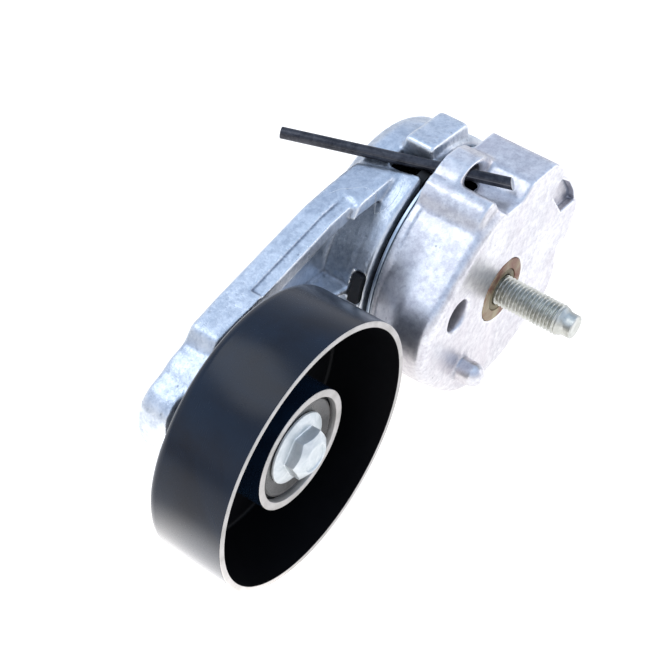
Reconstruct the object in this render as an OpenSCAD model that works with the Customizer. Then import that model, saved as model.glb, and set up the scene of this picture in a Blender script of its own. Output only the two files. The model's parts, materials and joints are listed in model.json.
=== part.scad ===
// Automatic belt tensioner: a cast spring housing that bolts to an engine, a sprung cast arm,
// and a flat steel idler pulley on a deep-groove ball bearing, shown with its lock pin fitted.
// Frame: the origin is the centre of the machined mounting face, the pivot runs along Y, the
// mounting bolt leaves along -Y, the arm points along -X and +Z is up.

/* [Housing] */
// Outside radius of the round spring housing
housing_r = 36.5; // [36:0.1:37]
// Depth of the housing from mounting face to rim
housing_d = 24.7; // [24.4:0.1:25]
// Radius of the spring cavity
cavity_r = 32; // [31.6:0.1:32.4]
// Thickness of the housing floor
floor_t = 6; // [5:0.5:7]
// Reach of the mounting lobe from its own centre
lobe_r = 20.6; // [20:0.2:21]
// Height of the squared block on top of the housing
block_top = 36.6; // [36:0.1:37]
// Radius of the plain locating hole
locating_hole_r = 5.4; // [5:0.1:5.6]
// Radius of the locating peg
peg_r = 3.9; // [3.5:0.1:4]
// Straight length of the locating peg
peg_len = 5; // [4:0.5:6]

/* [Pivot and mounting bolt] */
// Radius of the steel pivot tube
tube_r = 10.8; // [10.6:0.1:11]
// Thread radius of the mounting bolt
bolt_r = 5; // [4.9:0.05:5]
// Length of bolt that stands out of the mounting face
bolt_out = 26.4; // [24:0.2:30]
// Width across the flats of the mounting bolt's head
bolt_flats = 15; // [13:1:16]

/* [Arm] */
// Distance from the pivot axis to the pulley axis
arm_len = 98.5; // [97:0.5:100]
// Outside radius of the arm's hub
hub_r = 38; // [37.6:0.1:38.2]
// Radius of the arm's far end
nose_r = 20.5; // [20:0.1:21]
// Depth of the beam's walls around its pocket
beam_wall = 6.5; // [6:0.5:7]

/* [Pulley] */
// Outside radius of the pulley
pulley_r = 42; // [41.5:0.1:42.5]
// Width of the pulley's running face
pulley_w = 25.2; // [25:0.1:25.4]
// Thickness of the pressed steel
steel_t = 2; // [1.8:0.1:2.2]
// Outside radius of the ball bearing
bearing_r = 17.5; // [17.5:0.1:17.6]
// Width of the ball bearing
bearing_w = 11; // [11:0.1:11.2]
// Radius of the ball bearing's bore
bearing_bore_r = 7.5; // [7.4:0.1:7.5]
// Number of balls
ball_count = 8; // [7:1:8]
// Width across the flats of the pulley bolt's head
pulley_bolt_flats = 13.6; // [13:0.2:14]

/* [Lock pin] */
// Radius of the lock pin
lock_pin_r = 1.85; // [1.7:0.05:1.9]
// Length of the lock pin
lock_pin_len = 72; // [60:1:80]
// Angle that the lock pin leans away from the pivot axis
lock_pin_lean = 22.7; // [22.4:0.1:23]

/* [Spring] */
// Radius of the spring wire
wire_r = 2.9; // [2.5:0.1:3]
// Mean radius of the spring's coils
coil_r = 25; // [24.5:0.1:25.5]
// Turns of the spring
coil_turns = 4.6; // [4:0.1:4.8]

/* [Hidden] */

$fn = 96;
eps = 0.5;             // how far a cutter runs past the face it cuts
inner_drop = 0.4;      // a plain step that keeps separate faces apart

// Housing
lobe_x = -24;
lobe_d = 11;           // full-size part of the lobe
lobe_end = 21;         // where the lobe has tapered into the body
lobe_tip_r = 10;
face_edge = 2;         // soft edge around the mounting face
bulge_x = 22;          // low swelling at the lower right of the housing
bulge_z = -13;
bulge_r = 16;
bulge_d = 15;
hole_x = -26.2;
hole_z = 5.4;
peg_x = -19.8;
peg_z = -18.7;
block_right = 21.4;
ear_front = 15.5;
ear_top = 41.4;
tunnel_x = -3.6;
tunnel_z = 35.4;
tunnel_r = 4.5;
rim_band = 2.4;        // rim that stands a little proud of the housing wall
rim_proud = 0.4;
ring_t = 1;
notch_left = -11;
notch_base = 34.8;
notch_w = 7;
tab_r = 43;            // squared ear at the right of the mounting face
notch_d = 3;

// Pivot stack
arm_front = 26.9;
hub_back = 51;
thrust_t = 1.2;
washer_t = 2.5;
thrust_y = hub_back + 0.1;
washer_y = thrust_y + thrust_t + 0.1;
tube_end = washer_y + washer_t;
swage_t = 1.2;
swage_r = 9.8;
spigot_r = 8.4;
tube_bore_r = 5.6;
retainer_bore_r = 7.2;
retainer_d = 3;
bushing_r = 13.6;
bushing_y = 21;
bushing_gap = 0.05;    // running clearance on the pivot tube
shank_r = 4.5;          // reduced shank, as rolled threads leave it
point_r = 3.9;
point_len = 3.6;
point_cone = 1.4;
flange_r = 10.5;
flange_t = 2.2;
hex_t = 7.5;
head_y = tube_end + swage_t + 0.3;

// Arm
hub_wall_r = 33.6;     // inside radius of the hub
hub_floor = 45.5;
shoulder = 6;
boss_r = 17.6;
boss_front = 20;
beam_front = 35.7;
beam_back = 46.5;
beam_web = 4;
deck_front = 33.6;      // the beam's top widens forwards beside the hub
ledge_y = 40;
ledge_drop = 0.8;
ledge_end = -79;
ledge_len = 44;
lug_left = -6.4;
lug_right = 15;
lug_front = 28.6;
lug_back = 39;
lug_top = 41.8;
channel_left = -13;
channel_back = 39;
channel_z = 27;
pulley_boss_r = 15.4;
pulley_boss_front = 27;
neck_r = 11;
bolt_bore_r = 4.2;
bolt_bore_end = 40;
rib_z = 3;
rib_t = 2.4;
rib_front = 31.5;
knee_x = -46.5;        // where the top of the beam bends down towards the pulley
knee_z = 33.5;
taper = asin((hub_r - nose_r) / arm_len);

// Pulley and bearing
rim_front = -0.5;
hub_front = 4.3;
pulley_back = rim_front + pulley_w;
hub_wall = 1.4;
lip_r = 16.4;          // the hub's end is rolled in over the bearing
bearing_front = 7;
bearing_back = bearing_front + bearing_w;
pitch_r = 12.5;
ball_r = 2.95;
land_r = 16.3;
race_in_r = 10;
groove_r = 3.05;
seal_t = 0.7;
seal_in = 0.3;
shield_r = 15.4;
pulley_bolt_r = 4;
pulley_flange_r = 11.2;
pulley_hex_front = -0.5;
pulley_hex_back = 4.2;
flange_under = 6.3;
bend_r = 3.2;          // rounded corner between the running face and the pulley's web

// Lock pin: the front end's centre, in the plane of the lug
pin_x = 1.5;
pin_y = 3.6;
pin_z = 37.6;
pin_gap = 0.5;         // room around the lock pin where it passes through the castings
swing = 2.5;           // how far the arm can turn off the lock pin while it is fitted

// Tab of the damper ring
tab_angle = 170;
tab_w = 9.4;
tab_front = 28.1;
tab_back = 31.4;
tab_out = 39.3;

// A flat shape drawn in X and Z, extruded along +Y from y0 to y1
module slab(y0, y1) {
    translate([0, y1, 0])
        rotate([90, 0, 0])
            linear_extrude(y1 - y0)
                children();
}

// A disc along +Y
module disc(y0, y1, r, x = 0, z = 0) {
    translate([x, y0, z])
        rotate([-90, 0, 0])
            cylinder(h = y1 - y0, r = r);
}

// A cone along +Y
module cone(y0, y1, r0, r1, x = 0, z = 0) {
    translate([x, y0, z])
        rotate([-90, 0, 0])
            cylinder(h = y1 - y0, r1 = r0, r2 = r1);
}

// A half profile given as [radius, y], turned about an axis along Y
module turned(x = 0, z = 0) {
    translate([x, 0, z])
        rotate([-90, 0, 0])
            rotate_extrude()
                children();
}

// The lock pin's bar, or the room it needs, at a chosen radius
module pin_bar(r) {
    translate([pin_x, pin_y, pin_z])
        rotate([0, 0, lock_pin_lean])
            rotate([-90, 0, 0])
                cylinder(h = lock_pin_len, r = r);
}

// A hexagon prism along +Y
module hex(y0, y1, flats, x = 0) {
    translate([x, y0, 0])
        rotate([-90, 0, 0])
            cylinder(h = y1 - y0, r = flats / sqrt(3), $fn = 6);
}

// A disc with a sloping front edge, as around the machined face
module soft_disc(y1, r, x = 0, z = 0) {
    cone(0, face_edge, r - face_edge, r, x, z);
    disc(face_edge, y1, r, x, z);
}

module ear_shape() {
    polygon([[-13, 30], [-12.4, 38], [-9.4, 39.9], [-5.2, ear_top], [0.8, ear_top],
             [4.8, 40.2], [9.4, block_top], [9.4, 30]]);
}

// Raised land to the left of the lock pin's pocket
module land_shape() {
    polygon([[-21, 28], [-19.7, 30.8], [-17.8, 34.6], [-15.6, 37.2], [-13, 38.3],
             [-11.5, 38.3], [-9, 37], [-9, 30]]);
}

module block_shape() {
    polygon([[-10, 26], [-8, block_top - 1.6], [-2, block_top], [block_right, block_top],
             [26.4, 32.4], [28, 28.6], [20, 18]]);
}

module tab_shape() {
    polygon([[22, -3], [tab_r - 3.5, -2], [tab_r - 0.8, 3], [tab_r - 0.4, 10], [41.3, 13.3],
             [38.6, 18.6], [34, 24.3], [27.4, 30], [20, 20]]);
}

module notch_shape() {
    polygon([[26.5, 28], [22.6, 23.4], [31.5, 12.7], [40.2, 12.7], [37.6, 17.9],
             [33.1, 23.5]]);
}

module housing_outside() {
    soft_disc(housing_d - rim_band, housing_r);
    disc(housing_d - rim_band - inner_drop, housing_d, housing_r + rim_proud);
    soft_disc(lobe_d, lobe_r, lobe_x);
    cone(lobe_d, lobe_end, lobe_r, lobe_tip_r, lobe_x);
    soft_disc(bulge_d, bulge_r, bulge_x, bulge_z);
    slab(0, 8) tab_shape();
    slab(0, housing_d - 0.8) block_shape();
    slab(ear_front, housing_d - 0.2) ear_shape();
    slab(face_edge + 0.6, housing_d - 0.2) land_shape();
}

module spring_housing() {
    color("gainsboro")
    difference() {
        union() {
            housing_outside();
            disc(-peg_len, 1, peg_r, peg_x, peg_z);
            translate([peg_x, -peg_len, peg_z]) sphere(r = peg_r);
        }
        // spring cavity
        disc(floor_t, housing_d + eps, cavity_r);
        disc(-eps, floor_t + eps, tube_r);
        // plain hole in the lobe
        disc(-eps, floor_t, locating_hole_r, hole_x, hole_z);
        // lock pin tunnel and the open pocket in front of it
        disc(ear_front - eps, housing_d + eps, tunnel_r, tunnel_x, tunnel_z);
        disc(ear_front - eps, housing_d + eps, tunnel_r, tunnel_x + 0.8, tunnel_z + 0.4);
        pin_bar(lock_pin_r + pin_gap);
        slab(-eps, ear_front) polygon([[-9, 50], [-9, 35], [-6.6, 32.6], [1.8, 32.6],
                                       [4.4, 34.2], [8.6, 38], [8.6, 50]]);
        // shallow recess in the squared tab
        slab(-eps, notch_d) notch_shape();
        // narrow step under the wear ring
        difference() {
            disc(housing_d - 0.3, housing_d + eps, housing_r + 12);
            disc(housing_d - 1, housing_d + 1, housing_r - 0.6);
            slab(housing_d - 1, housing_d + 1) translate([-14, 37]) square([30, 8]);
        }
    }
}

module pivot_tube() {
    color("peru")
    turned()
        polygon([[retainer_bore_r, 0], [tube_r, 0], [tube_r, washer_y], [spigot_r, washer_y],
                 [spigot_r, tube_end], [swage_r, tube_end], [swage_r - 0.6, tube_end + swage_t],
                 [tube_bore_r, tube_end + swage_t], [tube_bore_r, retainer_d],
                 [retainer_bore_r, retainer_d]]);
}

module bolt_retainer() {
    color("tan")
    difference() {
        disc(0.2, retainer_d - 0.1, retainer_bore_r - 0.1);
        disc(-eps, retainer_d + eps, bolt_r + 0.3);
    }
}

module wear_ring() {
    color("lightsteelblue")
    difference() {
        disc(housing_d, housing_d + ring_t, housing_r + 0.3);
        disc(housing_d - eps, housing_d + ring_t + eps, cavity_r + 0.6);
        // notch under the lock pin
        slab(housing_d - eps, housing_d + ring_t + eps)
            translate([notch_left, notch_base]) square([notch_w, 8]);
    }
}

// The wire's centre at an angle along the spring: the end coils lie flat
coil_y0 = floor_t + wire_r + 0.4;
coil_y1 = hub_floor - wire_r - 0.4;
function coil_rise(u) = u < 0.12 ? 0 : u > 0.88 ? 1 : (u - 0.12) / 0.76;
function coil_point(u, a) =
    let (turn = 360 * coil_turns * u,
         y = coil_y0 + 0.35 * (u - 0.5) + (coil_y1 - coil_y0) * coil_rise(u),
         r = coil_r + wire_r * cos(a))
    [r * cos(turn), y + wire_r * sin(a), r * sin(turn)];

module torsion_spring() {
    steps = 110;
    sides = 8;
    points = [for (i = [0 : steps], j = [0 : sides - 1]) coil_point(i / steps, 360 * j / sides)];
    walls = [for (i = [0 : steps - 1], j = [0 : sides - 1])
        let (k = (j + 1) % sides)
        [i * sides + j, i * sides + k, (i + 1) * sides + k, (i + 1) * sides + j]];
    first = [[for (j = [sides - 1 : -1 : 0]) j]];
    last = [[for (j = [0 : sides - 1]) steps * sides + j]];
    color("dimgray")
    polyhedron(points = points, faces = concat(walls, first, last), convexity = 8);
}

module pivot_bushing() {
    color("darkgoldenrod")
    difference() {
        disc(bushing_y, hub_back, bushing_r);
        disc(bushing_y - eps, hub_back + eps, tube_r + bushing_gap);
    }
}

// Split friction ring inside the arm's hub, with one tab that stands out through the hub's wall
module damper_ring() {
    color("black")
    difference() {
        union() {
            disc(tab_front, tab_back, hub_wall_r - 0.3);
            rotate([0, -tab_angle, 0])
                translate([hub_wall_r - 1.4, tab_front, -tab_w / 2])
                    cube([tab_out - hub_wall_r + 1.4, tab_back - tab_front, tab_w]);
        }
        disc(tab_front - eps, tab_back + eps, hub_wall_r - 2.6);
        translate([0, tab_front - eps, -3]) cube([hub_r, 8, 6]);
    }
}

module thrust_washer() {
    color("ivory")
    difference() {
        disc(thrust_y, thrust_y + thrust_t, 17);
        disc(thrust_y - eps, thrust_y + thrust_t + eps, tube_r + 0.3);
    }
}

module retaining_washer() {
    color("silver")
    difference() {
        disc(washer_y, tube_end, 18);
        disc(washer_y - eps, tube_end + eps, spigot_r);
    }
}

// Outline of the arm seen along the pivot, drawn in from its edge by a chosen amount
module arm_shape(inset) {
    r0 = hub_r - inset;
    r1 = nose_r - inset;
    tuck = r1 - 0.3;   // the straight sides end just inside the far end's circle
    circle(r = r0);
    translate([-arm_len, 0]) circle(r = r1);
    polygon([[-8, r0 - 1.4], [-34, knee_z + 1.4 - inset], [knee_x, knee_z - inset],
             [-arm_len, tuck], [-arm_len - tuck * sin(taper), -tuck * cos(taper)],
             [-r0 * sin(taper), -r0 * cos(taper)]]);
}

// Relief at the top of the arm's far end
module nose_relief() {
    polygon([[-96.8, 30], [-96.8, 21.4], [-97.5, 20.4], [-98.7, 18.1], [-100.2, 15.6],
             [-102, 13.7], [-104.4, 12.2], [-107.6, 11.2], [-111.2, 10.2], [-114.2, 9],
             [-116.4, 7.2], [-119.6, 3], [-126, 3], [-126, 30]]);
}

module beam() {
    difference() {
        slab(beam_front, beam_back) arm_shape(0);
        // lower strip along the beam's front edge
        slab(beam_front - eps, ledge_y) difference() {
            translate([ledge_end, 0]) square([ledge_len, 60]);
            arm_shape(ledge_drop);
        }
        // pocket that opens towards the pulley
        slab(beam_front - eps, beam_back - beam_web) difference() {
            arm_shape(beam_wall);
            circle(r = hub_r - 1);
            translate([-arm_len, 0]) circle(r = nose_r);
        }
        slab(beam_front - eps, beam_back + eps) nose_relief();
    }
}

module arm_hub() {
    turned()
        polygon(concat([[boss_r, boss_front], [boss_r, hub_floor], [hub_wall_r, hub_floor],
                        [hub_wall_r, arm_front], [hub_r - 0.6, arm_front],
                        [hub_r + 0.5, arm_front + 1], [hub_r + 0.5, 33.2], [hub_r - 0.2, 34]],
                       [for (a = [0 : 15 : 90])
                           [hub_r - shoulder + (shoulder - 0.2) * cos(a),
                            hub_back - shoulder + shoulder * sin(a)]],
                       [[bushing_r, hub_back], [bushing_r, boss_front]]));
}

// Rib across the pocket, falling away from the hub towards the pulley
module rib() {
    translate([0, 0, rib_z])
        linear_extrude(rib_t)
            polygon([[-hub_r + 1.5, rib_front], [-50, rib_front + 3.4], [-64, rib_front + 7],
                     [-80, rib_front + 10], [-80, beam_back - 1], [-hub_r + 1.5, beam_back - 1]]);
}

module lug() {
    slab(lug_front, lug_back)
        polygon([[lug_left, 30], [lug_left, lug_top - 0.8], [lug_left + 0.8, lug_top],
                 [lug_right - 1.6, lug_top - 0.6], [lug_right, lug_top - 2.2], [16.6, 34],
                 [16, 30]]);
    slab(lug_back - eps, 43)
        polygon([[-3, 33], [-2.4, 37.8], [10.6, 37.2], [13, 33]]);
    slab(deck_front, beam_front + eps)
        polygon([[-38, 30], [-36, 34], [-34, 34.6], [-14, 35.8], [-14, 30]]);
}

module tensioner_arm() {
    color("lightgray")
    difference() {
        union() {
            arm_hub();
            difference() {
                union() {
                    beam();
                    lug();
                    rib();
                }
                disc(arm_front, beam_back + eps, hub_r - 1);
            }
            disc(pulley_boss_front, beam_back, pulley_boss_r, -arm_len);
            cone(bearing_back + 3, pulley_boss_front + 0.1, neck_r, neck_r + 1.6, -arm_len);
        }
        // way for the lock pin beside the lug
        slab(arm_front - eps, channel_back)
            polygon([[channel_left, 50], [channel_left, channel_z], [lug_left, channel_z],
                     [lug_left, 50]]);
        // room for the lock pin's bar as the arm turns off it
        for (turn = [0, swing / 2, swing]) rotate([0, -turn, 0]) pin_bar(lock_pin_r + pin_gap - 0.1);
        // window for the damper ring's tab
        rotate([0, -tab_angle, 0])
            translate([hub_wall_r - 4, tab_front - 0.3, -tab_w / 2 - 0.3])
                cube([12, tab_back - tab_front + 0.6, tab_w + 0.6]);
        // threaded hole for the pulley bolt, at its root size
        disc(bearing_back, bolt_bore_end, bolt_bore_r, -arm_len);
    }
}

module pulley_bolt() {
    color("lightsteelblue")
    difference() {
        union() {
            disc(flange_under - 0.1, bearing_back + 2.9, bearing_bore_r - 0.02, -arm_len);
            disc(bearing_back + 2, 38, pulley_bolt_r, -arm_len);
            cone(pulley_hex_back - 0.4, flange_under - 0.7, 7.6, pulley_flange_r, -arm_len);
            disc(flange_under - 0.7, flange_under, pulley_flange_r, -arm_len);
            hex(pulley_hex_front, pulley_hex_back, pulley_bolt_flats, -arm_len);
        }
        // corners turned off the end of the hexagon
        translate([-arm_len, 0, 0])
            rotate([-90, 0, 0])
                rotate_extrude()
                    polygon([[pulley_bolt_flats / 2 - 0.4, pulley_hex_front - 0.1],
                             [pulley_bolt_flats / 2 + 2, pulley_hex_front + 1.2],
                             [pulley_bolt_flats / 2 + 2, pulley_hex_front - 1],
                             [pulley_bolt_flats / 2 - 0.4, pulley_hex_front - 1]]);
    }
}

module dust_shield() {
    color("darkgray")
    turned(-arm_len)
        polygon([[bearing_bore_r, flange_under + 0.02], [11.6, flange_under + 0.02],
                 [12.4, flange_under - 0.2], [shield_r - 0.6, flange_under - 0.7],
                 [shield_r, flange_under - 0.5], [shield_r - 0.2, flange_under],
                 [12.6, flange_under + 0.4], [11.6, bearing_front - 0.02],
                 [bearing_bore_r, bearing_front - 0.02]]);
}

module rear_spacer() {
    color("silver")
    difference() {
        disc(bearing_back, bearing_back + 2.9, 10.2, -arm_len);
        disc(bearing_back - eps, bearing_back + 4, bearing_bore_r, -arm_len);
    }
}

module race_groove() {
    turned(-arm_len)
        translate([pitch_r, bearing_front + bearing_w / 2])
            circle(r = groove_r);
}

module bearing_inner_race() {
    color("silver")
    difference() {
        disc(bearing_front, bearing_back, race_in_r, -arm_len);
        disc(bearing_front - eps, bearing_back + eps, bearing_bore_r, -arm_len);
        race_groove();
    }
}

module bearing_outer_race() {
    color("silver")
    difference() {
        disc(bearing_front, bearing_back, bearing_r, -arm_len);
        disc(bearing_front - eps, bearing_back + eps, 15.1, -arm_len);
        disc(bearing_front - eps, bearing_front + seal_in + seal_t, land_r, -arm_len);
        disc(bearing_back - seal_in - seal_t, bearing_back + eps, land_r, -arm_len);
        race_groove();
    }
}

module seal(y0) {
    difference() {
        disc(y0, y0 + seal_t, land_r - 0.05, -arm_len);
        disc(y0 - eps, y0 + seal_t + eps, race_in_r + 0.3, -arm_len);
    }
}

module front_seal() {
    color("black") seal(bearing_front + seal_in);
}

module rear_seal() {
    color("black") seal(bearing_back - seal_in - seal_t);
}

// One ball pocket's place around the bearing
module around_balls() {
    for (i = [0 : ball_count - 1])
        translate([-arm_len, bearing_front + bearing_w / 2, 0])
            rotate([0, 360 * i / ball_count, 0])
                translate([pitch_r, 0, 0])
                    children();
}

module bearing_cage() {
    color("goldenrod")
    difference() {
        disc(bearing_front + 2, bearing_back - 2, pitch_r + 1.1, -arm_len);
        disc(bearing_front, bearing_back, pitch_r - 1.1, -arm_len);
        around_balls() rotate([0, 90, 0]) cylinder(h = 6, r = ball_r + 0.08, center = true);
    }
}

module bearing_balls() {
    color("white")
    around_balls() sphere(r = ball_r);
}

// Pressed cup: running face, rounded corner, flat web and a hub that holds the bearing
module pulley_shell() {
    corner_r = pulley_r - bend_r;
    corner_y = pulley_back - bend_r;
    color("midnightblue")
    turned(-arm_len)
        polygon(concat([[pulley_r - steel_t, rim_front], [pulley_r, rim_front]],
                       [for (a = [0 : 15 : 90])
                           [corner_r + bend_r * cos(a), corner_y + bend_r * sin(a)]],
                       [[bearing_r, pulley_back], [bearing_r, bearing_back + 1.8],
                        [bearing_r - 1.7, bearing_back + 1.4], [bearing_r - 1.7, bearing_back],
                        [bearing_r, bearing_back], [bearing_r, bearing_front],
                        [lip_r, bearing_front - 0.4], [lip_r, hub_front],
                        [bearing_r + hub_wall, hub_front],
                        [bearing_r + hub_wall, pulley_back - steel_t]],
                       [for (a = [90 : -30 : 0])
                           [corner_r + (bend_r - steel_t) * cos(a),
                            corner_y + (bend_r - steel_t) * sin(a)]]));
}

module mounting_bolt() {
    thread_end = -bolt_out + point_len + point_cone;
    color("darkgray")
    union() {
        disc(-bolt_out + 0.6, thread_end - point_cone + 0.1, point_r);
        cone(-bolt_out, -bolt_out + 0.7, point_r - 0.6, point_r);
        cone(thread_end - point_cone, thread_end, point_r, bolt_r);
        disc(thread_end, 0, bolt_r);
        disc(-0.1, head_y, shank_r);
        disc(head_y, head_y + flange_t, flange_r);
        hex(head_y + flange_t - 0.1, head_y + flange_t + hex_t, bolt_flats);
    }
}

module lock_pin() {
    color("black") pin_bar(lock_pin_r);
}

spring_housing();
pivot_tube();
bolt_retainer();
wear_ring();
torsion_spring();
pivot_bushing();
damper_ring();
thrust_washer();
retaining_washer();
tensioner_arm();
pulley_bolt();
dust_shield();
rear_spacer();
bearing_inner_race();
bearing_cage();
bearing_balls();
bearing_outer_race();
front_seal();
rear_seal();
pulley_shell();
mounting_bolt();
lock_pin();
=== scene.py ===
import json
import math
import bmesh
import bpy
import numpy as np
from mathutils import Matrix, Vector
from mathutils.bvhtree import BVHTree


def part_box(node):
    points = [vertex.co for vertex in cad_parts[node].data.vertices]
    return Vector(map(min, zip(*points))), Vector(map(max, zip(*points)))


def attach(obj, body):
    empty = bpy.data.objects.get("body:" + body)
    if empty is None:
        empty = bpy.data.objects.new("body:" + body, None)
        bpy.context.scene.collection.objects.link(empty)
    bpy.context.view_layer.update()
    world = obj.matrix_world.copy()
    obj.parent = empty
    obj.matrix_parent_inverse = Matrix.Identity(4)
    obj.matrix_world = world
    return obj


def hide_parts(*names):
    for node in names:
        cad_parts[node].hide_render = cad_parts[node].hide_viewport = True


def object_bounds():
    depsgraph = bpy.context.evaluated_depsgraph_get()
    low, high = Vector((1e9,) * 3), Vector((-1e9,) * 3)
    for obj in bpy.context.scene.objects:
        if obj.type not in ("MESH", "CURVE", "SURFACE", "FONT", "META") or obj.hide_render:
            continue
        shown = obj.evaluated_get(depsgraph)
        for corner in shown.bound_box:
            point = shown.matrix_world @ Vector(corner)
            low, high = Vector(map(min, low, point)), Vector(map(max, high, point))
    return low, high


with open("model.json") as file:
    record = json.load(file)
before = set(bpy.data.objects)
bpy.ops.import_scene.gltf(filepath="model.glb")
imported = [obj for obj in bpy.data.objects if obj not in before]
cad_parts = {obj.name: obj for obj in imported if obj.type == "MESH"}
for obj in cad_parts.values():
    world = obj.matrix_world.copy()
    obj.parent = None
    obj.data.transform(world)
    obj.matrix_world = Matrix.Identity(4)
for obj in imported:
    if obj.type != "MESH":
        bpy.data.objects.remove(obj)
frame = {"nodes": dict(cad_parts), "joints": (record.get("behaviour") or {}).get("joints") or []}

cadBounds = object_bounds()
mm = 0.001
print("frame loaded:", len(frame["nodes"]), "nodes")


# sizes read from the frame, in millimetres
def boxOf(node):
    low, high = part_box(node)
    return Vector(low) / mm, Vector(high) / mm


def jointNamed(name):
    return next(j for j in frame["joints"] if j["name"] == name)


pulleyLow, pulleyHigh = boxOf("pulley_shell")
pulleyX = (pulleyLow.x + pulleyHigh.x) / 2
pulleyR = (pulleyHigh.x - pulleyLow.x) / 2
housingBack = boxOf("spring_housing")[1].y
armFront = boxOf("tensioner_arm")[0].y


# shader helpers
def addNode(tree, kind, inputs=None, **settings):
    node = tree.nodes.new(kind)
    for key, value in settings.items():
        setattr(node, key, value)
    for key, value in (inputs or {}).items():
        socket = node.inputs[key]
        if isinstance(value, bpy.types.NodeSocket):
            tree.links.new(value, socket)
        else:
            socket.default_value = value
    return node


def mathNode(tree, operation, first, second=0.0, clamp=False):
    node = addNode(tree, "ShaderNodeMath", {0: first, 1: second}, operation=operation, use_clamp=clamp)
    return node.outputs[0]


def rampNode(tree, factor, stops):
    node = addNode(tree, "ShaderNodeValToRGB", {"Fac": factor})
    while len(node.color_ramp.elements) < len(stops):
        node.color_ramp.elements.new(0.5)
    for element, (place, value) in zip(node.color_ramp.elements, stops):
        element.position = place
        element.color = (*value, 1) if isinstance(value, tuple) else (value, value, value, 1)
    return node.outputs["Color"]


def mixColor(tree, factor, first, second):
    node = tree.nodes.new("ShaderNodeMix")
    node.data_type = "RGBA"
    for socket, value in ((node.inputs[0], factor), (node.inputs[6], first), (node.inputs[7], second)):
        if isinstance(value, bpy.types.NodeSocket):
            tree.links.new(value, socket)
        else:
            socket.default_value = (*value, 1) if isinstance(value, tuple) else value
    return node.outputs[2]


def effectGroup(name, inputs, outputs):
    tree = bpy.data.node_groups.new(name, "ShaderNodeTree")
    for label, default in inputs.items():
        socket = tree.interface.new_socket(name=label, in_out="INPUT", socket_type="NodeSocketFloat")
        socket.default_value = default
    for label in outputs:
        tree.interface.new_socket(name=label, in_out="OUTPUT", socket_type="NodeSocketFloat")
    return tree, tree.nodes.new("NodeGroupInput"), tree.nodes.new("NodeGroupOutput")


def placeGroup(tree, group, values):
    node = tree.nodes.new("ShaderNodeGroup")
    node.node_tree = group
    for label, value in values.items():
        node.inputs[label].default_value = value
    return node


# grain of a die casting: soft waves, fine sand and small pits
def makeCastSkin():
    tree, given, made = effectGroup("castSkin", {"Wave Scale": 90, "Grain Scale": 1400, "Pit Scale": 420,
                                                 "Dent Scale": 450, "Wave": 1, "Grain": 1, "Dents": 1,
                                                 "Pits": 1}, ["Height", "Tone", "Pit"])
    place = addNode(tree, "ShaderNodeTexCoord").outputs["Object"]
    wave = addNode(tree, "ShaderNodeTexNoise", {"Vector": place, "Scale": given.outputs["Wave Scale"],
                                                "Detail": 3, "Roughness": 0.55, "Distortion": 0.6})
    grain = addNode(tree, "ShaderNodeTexNoise", {"Vector": place, "Scale": given.outputs["Grain Scale"],
                                                 "Detail": 4, "Roughness": 0.7})
    cells = addNode(tree, "ShaderNodeTexVoronoi", {"Vector": place, "Scale": given.outputs["Pit Scale"],
                                                   "Randomness": 1})
    lone = addNode(tree, "ShaderNodeTexNoise", {"Vector": place, "Scale": 150, "Detail": 2})
    dots = rampNode(tree, cells.outputs["Distance"], [(0.0, 1.0), (0.22, 0.0)])
    spots = rampNode(tree, lone.outputs["Fac"], [(0.53, 0.0), (0.66, 1.0)])
    pit = mathNode(tree, "MULTIPLY", dots, spots)
    pit = mathNode(tree, "MULTIPLY", pit, given.outputs["Pits"])
    high = mathNode(tree, "MULTIPLY", wave.outputs["Fac"], given.outputs["Wave"])
    fine = mathNode(tree, "MULTIPLY", grain.outputs["Fac"], given.outputs["Grain"])
    middle = addNode(tree, "ShaderNodeTexNoise", {"Vector": place, "Scale": given.outputs["Dent Scale"],
                                                  "Detail": 3, "Roughness": 0.6})
    dents = mathNode(tree, "MULTIPLY", middle.outputs["Fac"], given.outputs["Dents"])
    high = mathNode(tree, "ADD", high, mathNode(tree, "MULTIPLY", dents, 0.3))
    high = mathNode(tree, "ADD", high, mathNode(tree, "MULTIPLY", fine, 0.16))
    high = mathNode(tree, "SUBTRACT", high, mathNode(tree, "MULTIPLY", pit, 0.5))
    tone = mathNode(tree, "ADD", mathNode(tree, "MULTIPLY", wave.outputs["Fac"], 0.3),
                    mathNode(tree, "MULTIPLY", middle.outputs["Fac"], 0.45))
    tone = mathNode(tree, "ADD", tone, mathNode(tree, "MULTIPLY", grain.outputs["Fac"], 0.25))
    for label, value in (("Height", high), ("Tone", tone), ("Pit", pit)):
        tree.links.new(value, made.inputs[label])
    return tree


# rubbed edges, and painted shade that darkens the hollow corners, broken up by noise
def makeWearAndCreviceShade():
    tree, given, made = effectGroup("wearAndCreviceShade", {"Start": 0.52, "Width": 0.05, "Breakup": 0.05,
                                                 "Scale": 500, "Corner": 0.47, "Corner Width": 0.06},
                                    ["Mask", "Crevice"])
    place = addNode(tree, "ShaderNodeTexCoord").outputs["Object"]
    bend = addNode(tree, "ShaderNodeNewGeometry").outputs["Pointiness"]
    rough = addNode(tree, "ShaderNodeTexNoise", {"Vector": place, "Scale": given.outputs["Scale"],
                                                 "Detail": 3})
    shift = mathNode(tree, "MULTIPLY", mathNode(tree, "SUBTRACT", rough.outputs["Fac"], 0.5),
                     given.outputs["Breakup"])
    rise = mathNode(tree, "SUBTRACT", mathNode(tree, "ADD", bend, shift), given.outputs["Start"])
    mask = mathNode(tree, "DIVIDE", rise, given.outputs["Width"], clamp=True)
    fall = mathNode(tree, "SUBTRACT", given.outputs["Corner"], mathNode(tree, "ADD", bend, shift))
    crevice = mathNode(tree, "DIVIDE", fall, given.outputs["Corner Width"], clamp=True)
    tree.links.new(mask, made.inputs["Mask"])
    tree.links.new(crevice, made.inputs["Crevice"])
    return tree


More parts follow.
